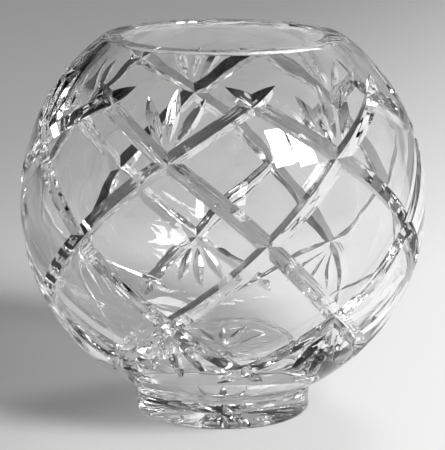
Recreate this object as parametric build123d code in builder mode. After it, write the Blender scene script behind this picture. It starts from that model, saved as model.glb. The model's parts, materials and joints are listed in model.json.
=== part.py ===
from build123d import *
from math import asin, cos, degrees, radians, sin, sqrt, tan
import os

# Rose bowl in cut lead glass: a blown, nearly round bowl on a short disc of glass that was
# joined to it hot. The origin is the centre of the base, with +Z up.

# Bowl
body_radius = 80.0        # widest, at the girdle
girdle_height = 2.0       # short straight band where the two halves of the body meet
girdle_wall = 7.0         # thickness of the wall there
mouth_radius = 38.5
rim_width = 8.14          # across the top before its edges are rounded and bevelled
rim_round = 5.0           # polished outer edge of the rim
rim_bevel = 1.0           # inner edge of the rim
floor_thickness = 11.5    # glass between the cavity and the foot
floor_radius = 27.0       # where the floor and the wall of the cavity would meet
floor_round = 14.0        # curve from the floor into the wall

# Foot
foot_radius = 34.5
foot_height = 10.7
foot_round = 2.0          # lower outer edge
foot_bevel = 0.6          # upper outer edge
foot_step = 1.55          # how far the foot stands out round the bowl's seat

# Mitre lines of the diamond pattern. The pattern is laid out on the round body, so all its
# heights are shares of the body's radius, and its turns are in degrees. A row is where lines
# cross, by its height over the girdle's middle, and every second row is turned by half a repeat.
repeats = 7
pattern_turn = -80.28     # azimuth of one crossing of the first row
row_shares = (0.601, 0.365, -0.0125, -0.405, -0.6675)
line_bow_share = 0.0125   # how far the outer stretches of a line rise off their chord
line_depth = 2.6
line_opening = 106.0      # angle of the V, in degrees
line_overrun = 1.2        # how far a cut runs past the crossing that it ends at

# Pointed ends of the lines, past the first and the last row, from the crossing to the tip
end_depth = 2.9
end_turn = 9.3
end_rise_share = 0.075

# Fans of three leaves, over each crossing of the second row and under each of the fourth,
# from the crossing to the root and the tip of a leaf
leaf_depth = 2.0
leaf_opening = 105.0
side_root_turn = 1.8
side_root_share = 0.069
side_tip_turn = 10.2
side_tip_share = 0.279
middle_root_share = 0.081
middle_tip_share = 0.321

# Star under the foot
star_points = 16
star_radius = 28.0
star_core = 1.0           # where its points begin, near the middle
star_depth = 1.7
star_opening = 92.0

overcut = 4.0             # how far a cutter stands out of the glass

half_girdle = girdle_height / 2
cavity_radius = body_radius - girdle_wall
seat_radius = foot_radius - foot_step
rim_radius = mouth_radius + rim_width
girdle_level = foot_height + sqrt(body_radius**2 - seat_radius**2) + half_girdle
rim_level = girdle_level + sqrt(body_radius**2 - rim_radius**2) + half_girdle
floor_level = foot_height + floor_thickness
half_turn = 180 / repeats


def on_wall(turn, height_share, sink):
    """Point at an azimuth from the pattern's start and a height over the girdle's middle,
    sunk square into the wall."""
    height = height_share * body_radius
    half = half_girdle if height > 0 else -half_girdle
    slope = asin((height - half) / body_radius) if abs(height) > half_girdle else 0
    level = girdle_level + (half if slope else height)
    out = (body_radius - sink) * cos(slope)
    azimuth = radians(pattern_turn + turn)
    return Vector(out * cos(azimuth), out * sin(azimuth), level + (body_radius - sink) * sin(slope))


def wheel_cut(path, outward, depth, opening, extra):
    """What a grinding wheel with a V edge takes out as its edge follows an arc: the V stands
    open outward, and the cut runs a little past both ends of the arc."""
    deepest = path @ 0.5
    along = path % 0.5
    square = outward - along * outward.dot(along)
    spindle = Axis(path.arc_center, (deepest - path.arc_center).cross(along))
    sweep = degrees((path.length + 2 * extra) / path.radius)
    reach = depth + overcut
    spread = reach * tan(radians(opening / 2))
    with BuildPart() as cutter:
        with BuildSketch(Plane(origin=deepest, x_dir=square, z_dir=along)):
            with BuildLine():
                Polyline((0, 0), (reach, -spread), (reach, spread), close=True)
            make_face()
        revolve(axis=spindle, revolution_arc=sweep)
    return cutter.part.rotate(spindle, -sweep / 2)


def line_cut(start, middle, end):
    """Mitre line of even depth through three places, each an azimuth and a height share."""
    path = ThreePointArc(*(on_wall(turn, height, line_depth) for turn, height in (start, middle, end)))
    outward = path @ 0.5 - Vector(0, 0, girdle_level)
    return wheel_cut(path, outward, line_depth, line_opening, line_overrun)


def leaf_cut(root, tip, depth, opening):
    """Leaf that starts and ends at the surface and is deepest half way."""
    middle = tuple((a + b) / 2 for a, b in zip(root, tip))
    path = ThreePointArc(on_wall(*root, 0), on_wall(*middle, depth), on_wall(*tip, 0))
    outward = path @ 0.5 - Vector(0, 0, girdle_level)
    return wheel_cut(path, outward, depth, opening, 0)


def pattern_cuts():
    """One repeat of the pattern: every cut with its mirror image."""
    first, second, third, fourth, fifth = row_shares
    cuts = []
    for side in (1, -1):
        near = side * half_turn
        cuts.append(line_cut((-near, second), (0, third), (near, fourth)))
        for inner, outer, up in ((second, first, 1), (fourth, fifth, -1)):
            bowed = (inner + outer) / 2 + up * line_bow_share
            cuts.append(line_cut((near, inner), (near / 2, bowed), (0, outer)))
            tip_turn = side * end_turn
            cuts.append(
                leaf_cut((tip_turn, outer - up * end_rise_share),
                         (-tip_turn, outer + up * end_rise_share), end_depth, line_opening)
            )
            root = (half_turn + side * side_root_turn, inner + up * side_root_share)
            tip = (half_turn + side * side_tip_turn, inner + up * side_tip_share)
            cuts.append(leaf_cut(root, tip, leaf_depth, leaf_opening))
    for inner, up in ((second, 1), (fourth, -1)):
        root = (half_turn, inner + up * middle_root_share)
        tip = (half_turn, inner + up * middle_tip_share)
        cuts.append(leaf_cut(root, tip, leaf_depth, leaf_opening))
    return cuts


def make_bowl():
    """Hollow body with its ground rim, flat seat and cuts."""
    cuts = pattern_cuts()
    with BuildPart() as bowl:
        with BuildSketch(Plane.XZ):
            with BuildLine():
                Polyline((rim_radius, rim_level), (0, rim_level), (0, foot_height), (seat_radius, foot_height))
                TangentArc(
                    (body_radius, girdle_level - half_girdle), (seat_radius, foot_height), tangent=(0, -1)
                )
                Line((body_radius, girdle_level - half_girdle), (body_radius, girdle_level + half_girdle))
                TangentArc(
                    (body_radius, girdle_level + half_girdle), (rim_radius, rim_level), tangent=(0, 1)
                )
            make_face()
        revolve(axis=Axis.Z)
        with BuildSketch(Plane.XZ):
            with BuildLine() as inside:
                Polyline((mouth_radius, rim_level), (0, rim_level), (0, floor_level), (floor_radius, floor_level))
                TangentArc((cavity_radius, girdle_level), (floor_radius, floor_level), tangent=(0, -1))
                TangentArc((cavity_radius, girdle_level), (mouth_radius, rim_level), tangent=(0, 1))
            make_face()
            fillet(inside.vertices().sort_by(Axis.Y)[0:2].sort_by(Axis.X)[-1], floor_round)
        revolve(axis=Axis.Z, mode=Mode.SUBTRACT)
        rim_edges = bowl.edges().filter_by(GeomType.CIRCLE).group_by(Axis.Z)[-1].sort_by(SortBy.RADIUS)
        fillet(rim_edges[-1], rim_round)
        rim_edges = bowl.edges().filter_by(GeomType.CIRCLE).group_by(Axis.Z)[-1].sort_by(SortBy.RADIUS)
        chamfer(rim_edges[0], rim_bevel)
        for cut in cuts:
            with PolarLocations(0, repeats):
                add(cut, mode=Mode.SUBTRACT)
    bowl.part.label = "bowl"
    return bowl.part


def make_foot():
    """Disc that the bowl stands on, with a star cut into its hollow underside."""
    star_start = (star_core, 0)
    star_middle = ((star_core + star_radius) / 2, star_depth)
    star_path = ThreePointArc(*(Vector(out, 0, up) for out, up in (star_start, star_middle, (star_radius, 0))))
    point = wheel_cut(star_path, Vector(0, 0, -1), star_depth, star_opening, 0)
    with BuildPart() as foot:
        with BuildSketch():
            Circle(foot_radius)
        extrude(amount=foot_height)
        fillet(foot.edges().group_by(Axis.Z)[0], foot_round)
        chamfer(foot.edges().group_by(Axis.Z)[-1], foot_bevel)
        with PolarLocations(0, star_points):
            add(point, mode=Mode.SUBTRACT)
    foot.part.label = "foot"
    return foot.part


os.makedirs("parts", exist_ok=True)
for piece in (make_bowl(), make_foot()):
    export_step(piece, f"parts/{piece.label}.step")
    print(piece.label, "volume", round(piece.volume / 1000, 1), "cm3, box", piece.bounding_box().size)
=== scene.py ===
import json
import math

import bpy
import numpy as np
from mathutils import Matrix, Vector

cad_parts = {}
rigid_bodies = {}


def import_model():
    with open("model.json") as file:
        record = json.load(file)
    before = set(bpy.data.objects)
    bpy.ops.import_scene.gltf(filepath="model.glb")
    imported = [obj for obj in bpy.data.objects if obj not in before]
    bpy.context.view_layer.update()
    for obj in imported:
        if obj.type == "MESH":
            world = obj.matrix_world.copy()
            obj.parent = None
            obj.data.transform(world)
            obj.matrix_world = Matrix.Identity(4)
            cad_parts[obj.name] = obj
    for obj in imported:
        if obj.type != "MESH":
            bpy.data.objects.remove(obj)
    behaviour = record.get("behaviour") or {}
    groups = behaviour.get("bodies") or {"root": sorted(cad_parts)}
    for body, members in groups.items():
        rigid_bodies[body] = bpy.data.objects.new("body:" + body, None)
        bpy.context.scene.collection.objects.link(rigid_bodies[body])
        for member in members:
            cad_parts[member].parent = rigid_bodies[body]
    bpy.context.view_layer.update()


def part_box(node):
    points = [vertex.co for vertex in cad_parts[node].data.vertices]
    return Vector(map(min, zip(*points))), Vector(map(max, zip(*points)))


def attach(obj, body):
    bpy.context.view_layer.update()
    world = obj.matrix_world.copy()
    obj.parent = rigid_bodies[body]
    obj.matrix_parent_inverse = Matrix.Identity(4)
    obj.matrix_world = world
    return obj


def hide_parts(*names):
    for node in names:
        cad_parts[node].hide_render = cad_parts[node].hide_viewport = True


# Cut glass rose bowl on a disc foot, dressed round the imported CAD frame. Metres, Z up.

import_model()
scene = bpy.context.scene
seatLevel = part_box("foot")[1].z
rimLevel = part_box("bowl")[1].z

# Body of the bowl: a profile turned round the Z axis
body = {
    "radius": 0.080,
    "girdleHeight": 0.002,    # straight band between the two half spheres
    "seatRadius": 0.03295,    # flat that meets the foot
    "wall": 0.007,            # at the girdle
    "mouthRadius": 0.0385,
    "rimRound": 0.005,
    "rimBevel": 0.001,
    "floorThickness": 0.0115,
    "floorRadius": 0.027,
    "floorRound": 0.014,
    "segments": 448,          # round the axis
    "arcStep": 0.9,           # degrees along the profile
}

halfGirdle = body["girdleHeight"] / 2
girdleLevel = seatLevel + math.sqrt(body["radius"]**2 - body["seatRadius"]**2) + halfGirdle
bodyMiddle = Vector((0, 0, girdleLevel))

# The photograph's viewing angle
view = {
    "elevation": 12.2,        # degrees above the horizontal
    "distance": 0.96,         # from the middle of the body
    "focalLength": 194.0,     # millimetres, on the sensor below
    "sensor": 36.0,
    "shiftX": -0.001,
    "shiftY": -0.0556,        # the bowl sits a little above the middle of the picture
    "nearest": 0.01,          # nothing closer than this is drawn
}


def makeCamera():
    cameraData = bpy.data.cameras.new("photoCamera")
    cameraData.lens = view["focalLength"]
    cameraData.sensor_width = view["sensor"]
    cameraData.shift_x = view["shiftX"]
    cameraData.shift_y = view["shiftY"]
    cameraData.clip_start = view["nearest"]
    camera = bpy.data.objects.new("photoCamera", cameraData)
    tilt = math.radians(view["elevation"])
    back = Vector((0, -math.cos(tilt), math.sin(tilt)))
    camera.location = bodyMiddle + back * view["distance"]
    camera.rotation_euler = back.to_track_quat("Z", "Y").to_euler()
    scene.collection.objects.link(camera)
    scene.camera = camera


makeCamera()
print("camera placed")


# Every surface of the glass is turned round some spindle: the bowl and the foot round the Z
# axis, each facet round the axis of its grinding wheel. A stretch of such a surface is a line
# or an arc in (radius, height) along its spindle, and it gives the facets their true shading.

class Stretch:
    spare = 0.01              # share of a straight stretch that a face may stand out past its ends
    tiny = 1e-9               # keeps a point on the spindle from dividing by nothing

    def __init__(self, spindle, start, end, centre=None, finish="blown"):
        self.origin, self.direction = (np.array(v) for v in spindle)
        self.start, self.end = np.array(start), np.array(end)
        self.centre = None if centre is None else np.array(centre)
        self.finish = finish

    def locate(self, points):
        # radius and height along the spindle, and the way out from it
        offset = points - self.origin
        height = offset @ self.direction
        out = offset - height[:, None] * self.direction
        radius = np.linalg.norm(out, axis=1)
        return radius, height, out / np.maximum(radius, self.tiny)[:, None]

    def probe(self, points):
        # how far each point lies off the surface, and the way the surface faces there
        radius, height, out = self.locate(points)
        if self.centre is None:
            run = self.end - self.start
            facing = np.array((-run[1], run[0])) / np.linalg.norm(run)
            u, v = radius - self.start[0], height - self.start[1]
            share = (u * run[0] + v * run[1]) / (run @ run)
            beyond = (share < -self.spare) | (share > 1 + self.spare)
            distance = np.where(beyond, np.inf, u * facing[0] + v * facing[1])
            return distance, facing[0] * out + facing[1] * self.direction
        u, v = radius - self.centre[0], height - self.centre[1]
        length = np.maximum(np.hypot(u, v), self.tiny)
        distance = length - np.linalg.norm(self.start - self.centre)
        return distance, (u / length)[:, None] * out + (v / length)[:, None] * self.direction

    def fromStart(self, points):
        # metres across a facet, counted from the bottom of its groove
        radius, height, _ = self.locate(points)
        run = (self.end - self.start) / np.linalg.norm(self.end - self.start)
        return (radius - self.start[0]) * run[0] + (height - self.start[1]) * run[1]

    def points(self, arcStep):
        # from the start up to the end, without the end
        if self.centre is None:
            return [self.start]
        a, b = self.start - self.centre, self.end - self.centre
        first = math.atan2(a[1], a[0])
        turn = (math.atan2(b[1], b[0]) - first + math.pi) % (2 * math.pi) - math.pi
        count = max(2, math.ceil(abs(math.degrees(turn)) / arcStep))
        angles = first + turn * np.arange(count) / count
        return [self.centre + np.hypot(*a) * np.array((math.cos(t), math.sin(t))) for t in angles]


upright = ((0.0, 0.0, 0.0), (0.0, 0.0, 1.0))


def tangentCentre(start, end):
    # middle of the arc that leaves start straight up or down and reaches end
    across, rise = start[0] - end[0], end[1] - start[1]
    radius = (across**2 + rise**2) / (2 * across)
    return (start[0] - radius, start[1]), radius


def bowlStretches():
    radius, half = body["radius"], halfGirdle
    low, high = (0.0, girdleLevel - half), (0.0, girdleLevel + half)
    seatEdge = (body["seatRadius"], seatLevel)

    # polished round between the outer wall and the flat rim
    rim = body["rimRound"]
    drop = rimLevel - rim - high[1]
    roundMiddle = (math.sqrt((radius - rim)**2 - drop**2), rimLevel - rim)
    share = radius / (radius - rim)
    roundLow = (roundMiddle[0] * share, high[1] + drop * share)
    roundHigh = (roundMiddle[0], rimLevel)

    # cavity: an arc up to the mouth, an arc down to the floor, and a bevel at the mouth's edge
    cavity = radius - body["wall"]
    girdle = (cavity, girdleLevel)
    mouth = (body["mouthRadius"], rimLevel)
    upperMiddle, upperRadius = tangentCentre(girdle, mouth)
    bevelTurn = body["rimBevel"] / upperRadius
    mouthAngle = math.atan2(mouth[1] - upperMiddle[1], mouth[0] - upperMiddle[0]) - bevelTurn
    bevelLow = (upperMiddle[0] + upperRadius * math.cos(mouthAngle),
                upperMiddle[1] + upperRadius * math.sin(mouthAngle))
    bevelHigh = (body["mouthRadius"] + body["rimBevel"], rimLevel)
    floorLevel = seatLevel + body["floorThickness"]
    lowerMiddle, lowerRadius = tangentCentre(girdle, (body["floorRadius"], floorLevel))
    bend = body["floorRound"]
    rise = lowerMiddle[1] - floorLevel - bend
    bendMiddle = (lowerMiddle[0] + math.sqrt((lowerRadius - bend)**2 - rise**2), floorLevel + bend)
    share = lowerRadius / (lowerRadius - bend)
    bendHigh = (lowerMiddle[0] + (bendMiddle[0] - lowerMiddle[0]) * share, lowerMiddle[1] - rise * share)

    turned = [
        ((0.0, seatLevel), seatEdge, None, "joint"),
        (seatEdge, (radius, low[1]), low, "blown"),
        ((radius, low[1]), (radius, high[1]), None, "blown"),
        ((radius, high[1]), roundLow, high, "blown"),
        (roundLow, roundHigh, roundMiddle, "ground"),
        (roundHigh, bevelHigh, None, "ground"),
        (bevelHigh, bevelLow, None, "ground"),
        (bevelLow, girdle, upperMiddle, "inner"),
        (girdle, bendHigh, lowerMiddle, "inner"),
        (bendHigh, (bendMiddle[0], floorLevel), bendMiddle, "inner"),
        ((bendMiddle[0], floorLevel), (0.0, floorLevel), None, "inner"),
    ]
    return [Stretch(upright, *row) for row in turned]


foot = {
    "radius": 0.0345,
    "round": 0.002,
    "bevel": 0.0006,
    "starPoints": 16,
    "starRadius": 0.028,
    "starCore": 0.001,        # where the cuts start, off the axis
    "starDepth": 0.0017,
    "starOpening": 92.0,      # angle of the V
    "segments": 320,
    "arcStep": 6.0,
}


def footStretches():
    radius, top = foot["radius"], seatLevel
    edge, bevel = foot["round"], foot["bevel"]
    turned = [
        ((0.0, 0.0), (radius - edge, 0.0), None, "ground"),
        ((radius - edge, 0.0), (radius, edge), (radius - edge, edge), "pressed"),
        ((radius, edge), (radius, top - bevel), None, "pressed"),
        ((radius, top - bevel), (radius - bevel, top), None, "ground"),
        ((radius - bevel, top), (body["seatRadius"], top), None, "pressed"),
        ((body["seatRadius"], top), (0.0, top), None, "joint"),
    ]
    return [Stretch(upright, *row) for row in turned]


def makeMesh(name, vertices, faces):
    mesh = bpy.data.meshes.new(name)
    mesh.from_pydata([tuple(v) for v in vertices], [], faces)
    mesh.update()
    piece = bpy.data.objects.new(name, mesh)
    scene.collection.objects.link(piece)
    return piece


def turnProfile(name, stretches, segments, arcStep):
    # closed solid: the profile starts and ends on the axis
    profile = [p for stretch in stretches for p in stretch.points(arcStep)][1:]
    lowest, highest = stretches[0].start, stretches[-1].end
    angles = 2 * math.pi * np.arange(segments) / segments
    vertices = [(r * math.cos(a), r * math.sin(a), z) for r, z in profile for a in angles]
    faces = []
    for ring in range(len(profile) - 1):
        for k in range(segments):
            a, b = ring * segments + k, ring * segments + (k + 1) % segments
            faces.append((a, b, b + segments, a + segments))
    first, last = len(vertices), len(vertices) + 1
    vertices += [(0, 0, lowest[1]), (0, 0, highest[1])]
    top = (len(profile) - 1) * segments
    for k in range(segments):
        after = (k + 1) % segments
        faces.append((first, after, k))
        faces.append((last, top + k, top + after))
    return makeMesh(name, vertices, faces)


# Grinding wheels

wheel = {
    "overcut": 0.004,         # how far a cutter stands out of the glass
    "sections": 64,           # along one cut
    "furrowShift": 0.013,     # between the furrow patterns of two facets
}

# Diamond lattice: heights are shares of the body's radius over the girdle, turns in degrees
lattice = {
    "repeats": 7,
    "turn": -80.28,           # azimuth of one crossing of the first row
    "rows": (0.601, 0.365, -0.0125, -0.405, -0.6675),
    "bow": 0.0125,            # how far the first and last row of lines bulge off a straight run
    "depth": 0.0026,
    "opening": 106.0,         # angle of the V
    "overrun": 0.0012,        # past each crossing
    "endDepth": 0.0029,       # the pointed ends past the first and last row
    "endTurn": 9.3,
    "endRise": 0.075,
}


def onWall(turn, heightShare, sink):
    # a point on the body's outside, sunk square into the wall
    height = heightShare * body["radius"]
    half = math.copysign(halfGirdle, height)
    slope = math.asin((height - half) / body["radius"]) if abs(height) > halfGirdle else 0
    level = girdleLevel + (half if slope else height)
    reach = body["radius"] - sink
    azimuth = math.radians(lattice["turn"] + turn)
    out = reach * math.cos(slope)
    return Vector((out * math.cos(azimuth), out * math.sin(azimuth), level + reach * math.sin(slope)))


def circleThrough(a, b, c):
    # its middle, its axis and the turn from a to c
    ab, ac = b - a, c - a
    normal = ab.cross(ac)
    centre = a + (normal.cross(ab) * ac.length_squared + ac.cross(normal) * ab.length_squared) / (
        2 * normal.length_squared)
    return centre, normal.normalized(), (a - centre).angle(c - centre)


def wheelCut(name, arc, wayOut, depth, opening, extra, turns, collection, surfaces):
    # what a wheel with a V edge takes out as its edge follows the arc, at each turn about Z
    centre, spindle, turned = circleThrough(*arc)
    sweep = turned + 2 * extra / (arc[0] - centre).length
    deepest = centre + Matrix.Rotation(turned / 2, 3, spindle) @ (arc[0] - centre)
    along = spindle.cross(deepest - centre).normalized()
    outward = wayOut(deepest)
    outward = (outward - along * outward.dot(along)).normalized()
    sideways = along.cross(outward)
    reach = depth + wheel["overcut"]
    spread = reach * math.tan(math.radians(opening / 2))
    section = (deepest, deepest + outward * reach - sideways * spread,
               deepest + outward * reach + sideways * spread)
    flat = []
    for p in section:
        height = (p - centre).dot(spindle)
        flat.append(((p - centre - spindle * height).length, height))
    steps = [sweep * (k / wheel["sections"] - 0.5) for k in range(wheel["sections"] + 1)]
    vertices = [centre + Matrix.Rotation(t, 3, spindle) @ (p - centre) for t in steps for p in section]
    faces = [(0, 2, 1), (len(vertices) - 3, len(vertices) - 2, len(vertices) - 1)]
    for k in range(0, len(vertices) - 3, 3):
        for a, b in ((0, 1), (1, 2), (2, 0)):
            faces.append((k + a, k + b, k + b + 3, k + a + 3))
    for turn in turns:
        about = Matrix.Rotation(turn, 3, "Z")
        cutter = makeMesh(name, [about @ v for v in vertices], faces)
        scene.collection.objects.unlink(cutter)
        collection.objects.link(cutter)
        axis = (tuple(about @ centre), tuple(about @ spindle))
        for side in (1, 2):
            surfaces.append(Stretch(axis, flat[0], flat[side], finish="cut"))


def fromBody(point):
    return point - bodyMiddle


def lineCut(places, turns, collection, surfaces):
    arc = [onWall(turn, height, lattice["depth"]) for turn, height in places]
    wheelCut("line", arc, fromBody, lattice["depth"], lattice["opening"], lattice["overrun"],
             turns, collection, surfaces)


def leafCut(root, tip, depth, opening, turns, collection, surfaces):
    middle = [(a + b) / 2 for a, b in zip(root, tip)]
    arc = [onWall(*root, 0), onWall(*middle, depth), onWall(*tip, 0)]
    wheelCut("leaf", arc, fromBody, depth, opening, 0, turns, collection, surfaces)


# The cutter's hand slipped a little on the front diamond: (turn, rise) of its crossings
slips = {
    "first": (0.2, 0.014),
    "third": (2.6, 0.0),
    "fifth": (-3.0, 0.0),
}
straight = {row: (0.0, 0.0) for row in slips}


def cutLattice(slip, turns, collection, surfaces):
    first, second, third, fourth, fifth = lattice["rows"]
    halfTurn = 180 / lattice["repeats"]
    middle = (slip["third"][0], third + slip["third"][1])
    for side in (1, -1):
        near = side * halfTurn
        lineCut(((-near, second), middle, (near, fourth)), turns, collection, surfaces)
        for inner, outer, up, row in ((second, first, 1, "first"), (fourth, fifth, -1, "fifth")):
            aside, height = slip[row][0], outer + slip[row][1]
            bowed = (inner + height) / 2 + up * lattice["bow"]
            lineCut(((near, inner), ((near + aside) / 2, bowed), (aside, height)),
                    turns, collection, surfaces)
            turn, rise = side * lattice["endTurn"], up * lattice["endRise"]
            leafCut((aside + turn, height - rise), (aside - turn, height + rise),
                    lattice["endDepth"], lattice["opening"], turns, collection, surfaces)


# Fan of three leaves over or under a crossing: (turn, rise) of the root and of the tip
fan = {
    "depth": 0.0020,
    "opening": 105.0,
    "side": ((1.8, 0.069), (10.2, 0.279)),
    "middle": ((0.0, 0.081), (0.0, 0.321)),
}


def cutFans(turns, collection, surfaces):
    halfTurn = 180 / lattice["repeats"]
    _, second, _, fourth, _ = lattice["rows"]
    for inner, up in ((second, 1), (fourth, -1)):
        leaves = [[(halfTurn + side * t, inner + up * r) for t, r in fan["side"]] for side in (1, -1)]
        leaves.append([(halfTurn + t, inner + up * r) for t, r in fan["middle"]])
        for root, tip in leaves:
            leafCut(root, tip, fan["depth"], fan["opening"], turns, collection, surfaces)


def cutPattern(collection, surfaces):
    turns = [2 * math.pi * k / lattice["repeats"] for k in range(lattice["repeats"])]
    cutLattice(slips, turns[:1], collection, surfaces)
    cutLattice(straight, turns[1:], collection, surfaces)
    cutFans(turns, collection, surfaces)


def downwards(point):
    # the underside is level, so the way out of it is the same at every point
    return Vector((0, 0, -1))


def cutStar(collection, surfaces):
    inner, outer, deep = foot["starCore"], foot["starRadius"], foot["starDepth"]
    arc = [Vector((inner, 0, 0)), Vector(((inner + outer) / 2, 0, deep)), Vector((outer, 0, 0))]
    turns = [2 * math.pi * k / foot["starPoints"] for k in range(foot["starPoints"])]
    wheelCut("star", arc, downwards, deep, foot["starOpening"], 0, turns, collection, surfaces)


def carve(piece, collection):
    grind = piece.modifiers.new("grind", "BOOLEAN")
    grind.operation = "DIFFERENCE"
    grind.operand_type = "COLLECTION"
    grind.collection = collection
    grind.solver = "MANIFOLD"
    bpy.context.view_layer.update()
    graph = bpy.context.evaluated_depsgraph_get()
    carved = bpy.data.meshes.new_from_object(piece.evaluated_get(graph))
    piece.modifiers.clear()
    piece.data = carved
    for cutter in list(collection.objects):
        bpy.data.objects.remove(cutter)
    bpy.data.collections.remove(collection)


# When a face belongs to a turned surface
belonging = {
    "reach": 2e-5,            # farthest that its corners may lie off it
    "facing": 0.9,            # cosine of the angle that its facing may be off
}


def readNumbers(items, name):
    values = np.empty(len(items), np.int32)
    items.foreach_get(name, values)
    return values


def readVectors(items, name):
    values = np.empty(len(items) * 3, np.float32)
    items.foreach_get(name, values)
    return values.reshape(-1, 3).astype(float)


def polish(piece, surfaces, finishes):
    # gives each face the finish of the surface that it lies on, and that surface's true facing
    mesh = piece.data
    count = len(mesh.polygons)
    points = readVectors(mesh.vertices, "co")
    corner = readNumbers(mesh.loops, "vertex_index")
    start = readNumbers(mesh.polygons, "loop_start")
    total = readNumbers(mesh.polygons, "loop_total")
    middle = readVectors(mesh.polygons, "center")
    facing = readVectors(mesh.polygons, "normal")

    best = np.full(count, belonging["facing"])
    owner = np.full(count, -1)
    for number, surface in enumerate(surfaces):
        away = np.abs(surface.probe(points)[0])
        near = np.maximum.reduceat(away[corner], start) < belonging["reach"]
        if near.any():
            chosen = np.flatnonzero(near)
            match = np.abs((surface.probe(middle[chosen])[1] * facing[chosen]).sum(1))
            better = match > best[chosen]
            best[chosen[better]] = match[better]
            owner[chosen[better]] = number

    face = np.repeat(np.arange(count), total)
    normals = facing[face].copy()
    slots = np.zeros(count, np.int32)
    names = list(finishes)
    groove = np.zeros(len(face), np.float32)
    for number, surface in enumerate(surfaces):
        mine = owner[face] == number
        if mine.any():
            true = surface.probe(points[corner[mine]])[1]
            true *= np.sign((true * facing[face[mine]]).sum(1))[:, None]
            normals[mine] = true
            slots[owner == number] = names.index(surface.finish)
            if surface.finish == "cut":
                shift = wheel["furrowShift"] * number
                groove[mine] = surface.fromStart(points[corner[mine]]) + shift
    mesh.materials.clear()
    for name in names:
        mesh.materials.append(finishes[name])
    mesh.polygons.foreach_set("material_index", slots)
    mesh.polygons.foreach_set("use_smooth", np.ones(count, bool))
    mesh.attributes.new("groove", "FLOAT", "CORNER").data.foreach_set("value", groove)
    mesh.update()
    mesh.normals_split_custom_set(normals)
    print(f"{piece.name}: {count} faces, {int((owner < 0).sum())} of them on no turned surface")


# Finishes of the crystal

glass = {
    "indexOfRefraction": 1.545,         # lead crystal
    "blownWave": (32.0, 0.00026),       # ripple of the fire-polished skin: per metre, and metres high
    "innerWave": (46.0, 0.00050),       # the inside was shaped by breath alone, so it is less even
    "cutWave": (240.0, 0.00008),        # what acid polishing leaves on the facets
    "waveDetail": 1.0,                  # one finer ripple on each
    "wheelMarks": (800.0, 0.00008),     # fine furrows that the wheel leaves along each facet
    "marksDetail": 0.0,
    "groundGrain": (900.0, 0.00001),    # bite of the grindstone on the rim and underside
    "groundRoughness": (0.015, 0.06),
    "throughWall": (0.95, 0.55),        # light that one skin lets through, met square and at a slant
    "throughFoot": (1.0, 0.8),
    "squareUpTo": 0.45,                 # share of the way to edge-on that counts as square
    "throughHigh": 0.54,                # share of the light that is left in the upper half
    "throughLevels": (0.035, 0.085),    # heights between which it falls to that
}


def newMaterial(name):
    material = bpy.data.materials.new(name)
    material.use_nodes = True
    return material, material.node_tree.nodes, material.node_tree.links


def fadeBetween(nodes, links, value, given, wanted):
    # a number that runs over the wanted range as the value runs over the given one
    change = nodes.new("ShaderNodeMapRange")
    change.inputs["From Min"].default_value, change.inputs["From Max"].default_value = given
    change.inputs["To Min"].default_value, change.inputs["To Max"].default_value = wanted
    links.new(value, change.inputs["Value"])
    return change.outputs["Result"]


def scaleTone(nodes, links, tone, share):
    scale = nodes.new("ShaderNodeVectorMath")
    scale.operation = "SCALE"
    links.new(tone, scale.inputs[0])
    links.new(share, scale.inputs["Scale"])
    return scale.outputs["Vector"]


def addRelief(nodes, links, wave, detail, before=None):
    # bumps from a noise: its count per metre and its height; they add to the bumps before them
    noise = nodes.new("ShaderNodeTexNoise")
    noise.inputs["Scale"].default_value = wave[0]
    noise.inputs["Detail"].default_value = detail
    relief = nodes.new("ShaderNodeBump")
    relief.inputs["Distance"].default_value = wave[1]
    links.new(noise.outputs[0], relief.inputs["Height"])
    if before:
        links.new(before.outputs["Normal"], relief.inputs["Normal"])
    return noise, relief


def shadowTone(nodes, links, place, letThrough):
    # lamps shine on through the glass, less so at a slant and in the upper half
    facing = nodes.new("ShaderNodeLayerWeight")
    tone = nodes.new("ShaderNodeValToRGB")
    tone.color_ramp.elements[0].position = glass["squareUpTo"]
    for element, level in zip(tone.color_ramp.elements, letThrough):
        element.color = (level, level, level, 1)
    split = nodes.new("ShaderNodeSeparateXYZ")
    links.new(facing.outputs["Facing"], tone.inputs[0])
    links.new(place, split.inputs[0])
    share = fadeBetween(nodes, links, split.outputs["Z"], glass["throughLevels"], (1, glass["throughHigh"]))
    return scaleTone(nodes, links, tone.outputs["Color"], share)


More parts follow.
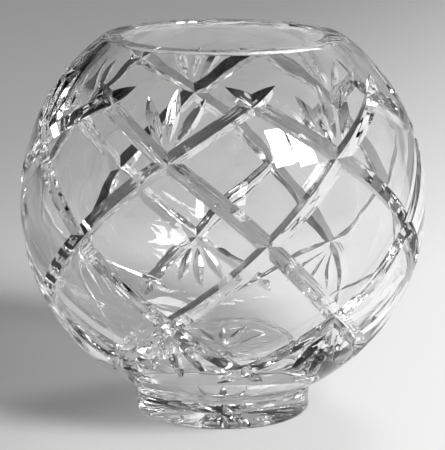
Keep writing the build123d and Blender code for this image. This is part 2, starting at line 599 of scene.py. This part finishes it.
def makeGlass(name, wave, letThrough, roughness=(0.0, 0.0), marks=None):
    material, nodes, links = newMaterial(name)
    shader = nodes["Principled BSDF"]
    shader.inputs["Base Color"].default_value = (1, 1, 1, 1)
    shader.inputs["Roughness"].default_value = roughness[0]
    shader.inputs["IOR"].default_value = glass["indexOfRefraction"]
    shader.inputs["Transmission Weight"].default_value = 1.0

    place = nodes.new("ShaderNodeTexCoord").outputs["Object"]
    noise, relief = addRelief(nodes, links, wave, glass["waveDetail"])
    links.new(place, noise.inputs["Vector"])
    if marks:
        groove = nodes.new("ShaderNodeAttribute")
        groove.attribute_name = "groove"
        furrows, relief = addRelief(nodes, links, marks, glass["marksDetail"], relief)
        furrows.noise_dimensions = "1D"
        links.new(groove.outputs["Fac"], furrows.inputs["W"])
    links.new(relief.outputs["Normal"], shader.inputs["Normal"])
    if roughness[1] > roughness[0]:
        spread = fadeBetween(nodes, links, noise.outputs[0], (0, 1), roughness)
        links.new(spread, shader.inputs["Roughness"])

    through = nodes.new("ShaderNodeBsdfTransparent")
    path = nodes.new("ShaderNodeLightPath")
    mix = nodes.new("ShaderNodeMixShader")
    links.new(shadowTone(nodes, links, place, letThrough), through.inputs["Color"])
    links.new(path.outputs["Is Shadow Ray"], mix.inputs[0])
    links.new(shader.outputs[0], mix.inputs[1])
    links.new(through.outputs[0], mix.inputs[2])
    links.new(mix.outputs[0], nodes["Material Output"].inputs["Surface"])
    return material


def makeJoint():
    # the foot is fused to the bowl, so light goes straight on where they meet
    material, nodes, links = newMaterial("crystalJoint")
    nodes.remove(nodes["Principled BSDF"])
    clear = nodes.new("ShaderNodeBsdfTransparent")
    links.new(clear.outputs[0], nodes["Material Output"].inputs["Surface"])
    return material


finishes = {
    "blown": makeGlass("crystalBlown", glass["blownWave"], glass["throughWall"]),
    "inner": makeGlass("crystalInner", glass["innerWave"], glass["throughWall"]),
    "pressed": makeGlass("crystalPressed", glass["blownWave"], glass["throughFoot"]),
    "cut": makeGlass("crystalCut", glass["cutWave"], glass["throughWall"], marks=glass["wheelMarks"]),
    "ground": makeGlass("crystalGround", glass["groundGrain"], glass["throughFoot"],
                        glass["groundRoughness"]),
    "joint": makeJoint(),
}


def grindPiece(name, surfaces, size, cutAway):
    piece = turnProfile(name, surfaces, size["segments"], size["arcStep"])
    cutters = bpy.data.collections.new("cutters")
    scene.collection.children.link(cutters)
    cutAway(cutters, surfaces)
    carve(piece, cutters)
    polish(piece, surfaces, finishes)
    return piece


bowlPiece = grindPiece("crystalBowl", bowlStretches(), body, cutPattern)
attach(bowlPiece, "root")
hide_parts("bowl")

footPiece = grindPiece("crystalFoot", footStretches(), foot, cutStar)
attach(footPiece, "root")
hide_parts("foot")
print("glass made")


# Studio: a pale round table with painted shade on its paper, two window panes at the right, a slim lamp at
# the left, one far behind

table = {
    "radius": 2.6,
    "segments": 128,
    "drop": 0.0003,           # gap under the foot, so that light gets in between
    "roughness": 0.8,
    "gloss": 0.2,
    # painted shade: the paper is painted darker towards the left, away from the windows
    "paintedShadeTone": 0.45,
    "paleTone": 0.86,
    "paintedShadeFrom": (-0.30, 0.06),        # X and Y where the painted shade is deepest, and from there on to the left
    "paleFrom": (0.14, -0.06),
    "underWindow": (1.15, -1.15),     # painted shade: the paper gets darker towards this place under the lamps, against their stronger light there
    "windowReach": (0.80, 1.74),      # distances from it
    "underWindowShadeShare": 0.26,               # share of the tone that the painted shade leaves there
}


def gradeTone(nodes, links, source, start, end, tones):
    # a tone that runs from the start to the end point
    along = nodes.new("ShaderNodeVectorMath")
    along.operation = "DOT_PRODUCT"
    run = Vector(end) - Vector(start)
    along.inputs[1].default_value = run / run.length_squared
    shift = nodes.new("ShaderNodeMath")
    shift.operation = "SUBTRACT"
    shift.inputs[1].default_value = Vector(start).dot(run) / run.length_squared
    tone = nodes.new("ShaderNodeValToRGB")
    tone.color_ramp.interpolation = "EASE"
    for element, level in zip(tone.color_ramp.elements, tones):
        element.color = (level, level, level, 1)
    links.new(source, along.inputs[0])
    links.new(along.outputs["Value"], shift.inputs[0])
    links.new(shift.outputs[0], tone.inputs[0])
    return tone.outputs["Color"]


def makeTable():
    angles = [2 * math.pi * k / table["segments"] for k in range(table["segments"])]
    radius = table["radius"]
    vertices = [(radius * math.cos(a), radius * math.sin(a), -table["drop"]) for a in angles]
    piece = makeMesh("studioTable", vertices, [tuple(range(len(vertices)))])
    material, nodes, links = newMaterial("palePaper")
    shader = nodes["Principled BSDF"]
    shader.inputs["Roughness"].default_value = table["roughness"]
    shader.inputs["Specular IOR Level"].default_value = table["gloss"]
    place = nodes.new("ShaderNodeTexCoord").outputs["Object"]
    # painted shade: the paper's tone runs from darker at the left to pale at the right
    tone = gradeTone(nodes, links, place, (*table["paintedShadeFrom"], 0), (*table["paleFrom"], 0),
                     (table["paintedShadeTone"], table["paleTone"]))
    # painted shade: the paper is darker near the place under the lamps, to even out their stronger light
    away = nodes.new("ShaderNodeVectorMath")
    away.operation = "DISTANCE"
    away.inputs[1].default_value = (*table["underWindow"], 0)
    links.new(place, away.inputs[0])
    share = fadeBetween(nodes, links, away.outputs["Value"], table["windowReach"], (table["underWindowShadeShare"], 1))
    links.new(scaleTone(nodes, links, tone, share), shader.inputs["Base Color"])
    piece.data.materials.append(material)


lamps = {
    # name: place, size, watts; each looks at the middle of the bowl
    "leftPane": ((1.00, -1.28, 1.26), (0.36, 0.72), 30.5),
    "rightPane": ((1.32, -1.00, 1.14), (0.36, 0.62), 30.5),
    "sideLamp": ((-0.35, -1.55, 0.30), (0.12, 0.35), 1.5),
    "farLamp": ((0.80, 1.60, 2.20), (1.00, 1.00), 26),
}


def makeLamp(name):
    place, size, power = lamps[name]
    data = bpy.data.lights.new(name, "AREA")
    data.shape = "RECTANGLE"
    data.size, data.size_y = size
    data.energy = power
    lamp = bpy.data.objects.new(name, data)
    lamp.location = place
    lamp.rotation_euler = (Vector(place) - bodyMiddle).to_track_quat("Z", "Y").to_euler()
    scene.collection.objects.link(lamp)


air = {
    "darkFrom": (-0.02, 0.90, 0.38),    # the room is dark above and at the left
    "paleFrom": (0.45, 0.90, -0.12),
    "darkTone": 0.003,
    "paleTone": 0.42,
}


def makeAir():
    world = bpy.data.worlds.new("studioAir")
    world.use_nodes = True
    nodes, links = world.node_tree.nodes, world.node_tree.links
    direction = nodes.new("ShaderNodeTexCoord")
    tone = gradeTone(nodes, links, direction.outputs["Generated"], air["darkFrom"], air["paleFrom"],
                     (air["darkTone"], air["paleTone"]))
    links.new(tone, nodes["Background"].inputs["Color"])
    scene.world = world


# How often light may bounce: through a cut bowl it crosses many skins
bounces = {
    "all": 32,
    "glossy": 16,
    "clear": 24,              # through the fused joint, and of lamp light through the glass
}

makeTable()
for lampName in lamps:
    makeLamp(lampName)
makeAir()
scene.view_settings.view_transform = "Standard"
scene.cycles.max_bounces = bounces["all"]
scene.cycles.transmission_bounces = bounces["all"]
scene.cycles.glossy_bounces = bounces["glossy"]
scene.cycles.transparent_max_bounces = bounces["clear"]
scene.cycles.caustics_refractive = False
scene.cycles.caustics_reflective = False
print("studio made")
